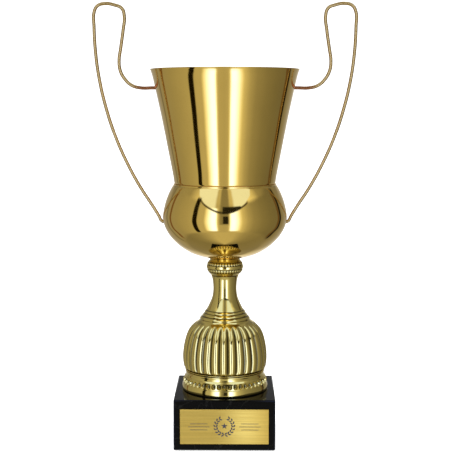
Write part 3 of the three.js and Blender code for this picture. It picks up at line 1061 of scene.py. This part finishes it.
class CUP_OT_nameplate(CupOperator, bpy.types.Operator):
    """Makes the nameplate, its engraved laurel, star and rules, and finishes its tape"""

    bl_idname = "cup.nameplate"
    bl_label = "Nameplate"

    def execute(self, context):
        low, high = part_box("nameplate")
        engraved = ENGRAVING_HEIGHT * MM
        face = low.y + engraved
        bm = bmesh.new()
        bmesh.ops.create_cube(bm, size=1.0)
        bmesh.ops.scale(bm, vec=(high.x - low.x, high.y - face, high.z - low.z), verts=bm.verts)
        bmesh.ops.translate(bm, vec=(0, (face + high.y) / 2, (low.z + high.z) / 2), verts=bm.verts)
        edged(bm, 0.25 * MM)
        piece(bm, "nameplate_brushed", plate_gold(), ["nameplate"], flat_over=1e-4)

        middle = (low + high) / 2
        art = bmesh.new()
        for side in (-1, 1):
            for height, length in RULES:
                self.bar(art, (side * RULE_CENTRE * MM, height * MM), (length * MM, RULE_WIDTH * MM))
            self.laurel(art, side)
        self.star(art, (0, STAR_HEIGHT * MM), STAR_RADIUS * MM)
        upright = Matrix.Translation((middle.x, face, middle.z)) @ Matrix.Rotation(math.pi / 2, 4, "X")
        bmesh.ops.transform(art, matrix=upright, verts=art.verts)
        made = bmesh.ops.extrude_face_region(art, geom=art.faces[:])
        raised = [v for v in made["geom"] if isinstance(v, bmesh.types.BMVert)]
        bmesh.ops.translate(art, vec=(0, -engraved, 0), verts=raised)
        bmesh.ops.recalc_face_normals(art, faces=art.faces)
        piece(art, "nameplate_engraving", engraving(), [])

        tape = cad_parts["nameplate_adhesive"]
        tape.data.materials.clear()
        tape.data.materials.append(foam_tape())
        return {"FINISHED"}

    def bar(self, bm, centre, span):
        made = bmesh.ops.create_grid(bm, x_segments=1, y_segments=1, size=0.5)["verts"]
        bmesh.ops.scale(bm, vec=(*span, 1), verts=made)
        bmesh.ops.translate(bm, vec=(*centre, 0), verts=made)

    def leaf(self, bm, centre, turn, length):
        """A leaf: a disc squeezed into a slim oval, and still slimmer towards its two tips."""
        made = bmesh.ops.create_circle(bm, cap_ends=True, segments=14, radius=length / 2)["verts"]
        for vert in made:
            taper = 1 - (2 * vert.co.x / length) ** 2
            vert.co.y *= 0.42 * math.sqrt(max(0.0, taper)) + 0.02
        bmesh.ops.rotate(bm, cent=(0, 0, 0), matrix=Matrix.Rotation(turn, 3, "Z"), verts=made)
        bmesh.ops.translate(bm, vec=(*centre, 0), verts=made)

    def laurel(self, bm, side):
        """One branch of the laurel: pairs of leaves that lean outwards and inwards."""
        for pair in range(LEAF_PAIRS):
            angle = math.radians(FIRST_LEAF + LEAF_SPACING * pair)
            for outside, lean in LEAF_ROWS:
                reach = (LAUREL_RADIUS + outside) * MM
                centre = (side * reach * math.cos(angle), reach * math.sin(angle) + LAUREL_HEIGHT * MM)
                turn = angle + math.radians(lean)
                self.leaf(bm, centre, turn if side > 0 else math.pi - turn, LEAF_LENGTH * MM)

    def star(self, bm, centre, radius):
        """A five-pointed star: a ten-sided disc with every other corner drawn in."""
        made = bmesh.ops.create_circle(bm, cap_ends=True, segments=10, radius=radius)["verts"]
        for number, vert in enumerate(made):
            if number % 2:
                vert.co *= STAR_WAIST
        bmesh.ops.translate(bm, vec=(*centre, 0), verts=made)


class CUP_PT_panel(bpy.types.Panel):
    """Lists the cup's pieces and settings"""

    bl_idname = "CUP_PT_panel"
    bl_label = "Presentation Cup"
    bl_space_type = "VIEW_3D"
    bl_region_type = "UI"
    bl_category = "Cup"

    def draw(self, context):
        layout = self.layout
        for operator in OPERATORS:
            layout.operator(operator.bl_idname)
        for group in (context.scene.cup_sizes, context.scene.cup_finishes, context.scene.cup_studio):
            box = layout.box()
            for name in group.__annotations__:
                box.prop(group, name)


SETTINGS = (("cup_sizes", CupSizes), ("cup_finishes", CupFinishes), ("cup_studio", CupStudio))
OPERATORS = (
    CUP_OT_stage, CUP_OT_felt_pads, CUP_OT_plinth, CUP_OT_nameplate, CUP_OT_foot_ring, CUP_OT_riser,
    CUP_OT_collar, CUP_OT_bowl, CUP_OT_cone, CUP_OT_handles, CUP_OT_tie_rod, CUP_OT_handle_fixings,
)


def register():
    for name, group in SETTINGS:
        bpy.utils.register_class(group)
        setattr(bpy.types.Scene, name, PointerProperty(type=group))
    for cls in (*OPERATORS, CUP_PT_panel):
        bpy.utils.register_class(cls)


def unregister():
    for cls in reversed((*OPERATORS, CUP_PT_panel)):
        bpy.utils.unregister_class(cls)
    for name, group in reversed(SETTINGS):
        delattr(bpy.types.Scene, name)
        bpy.utils.unregister_class(group)


def main():
    register()
    for operator in OPERATORS:
        section, name = operator.bl_idname.split(".")
        getattr(getattr(bpy.ops, section), name)()


if __name__ == "__main__":
    main()
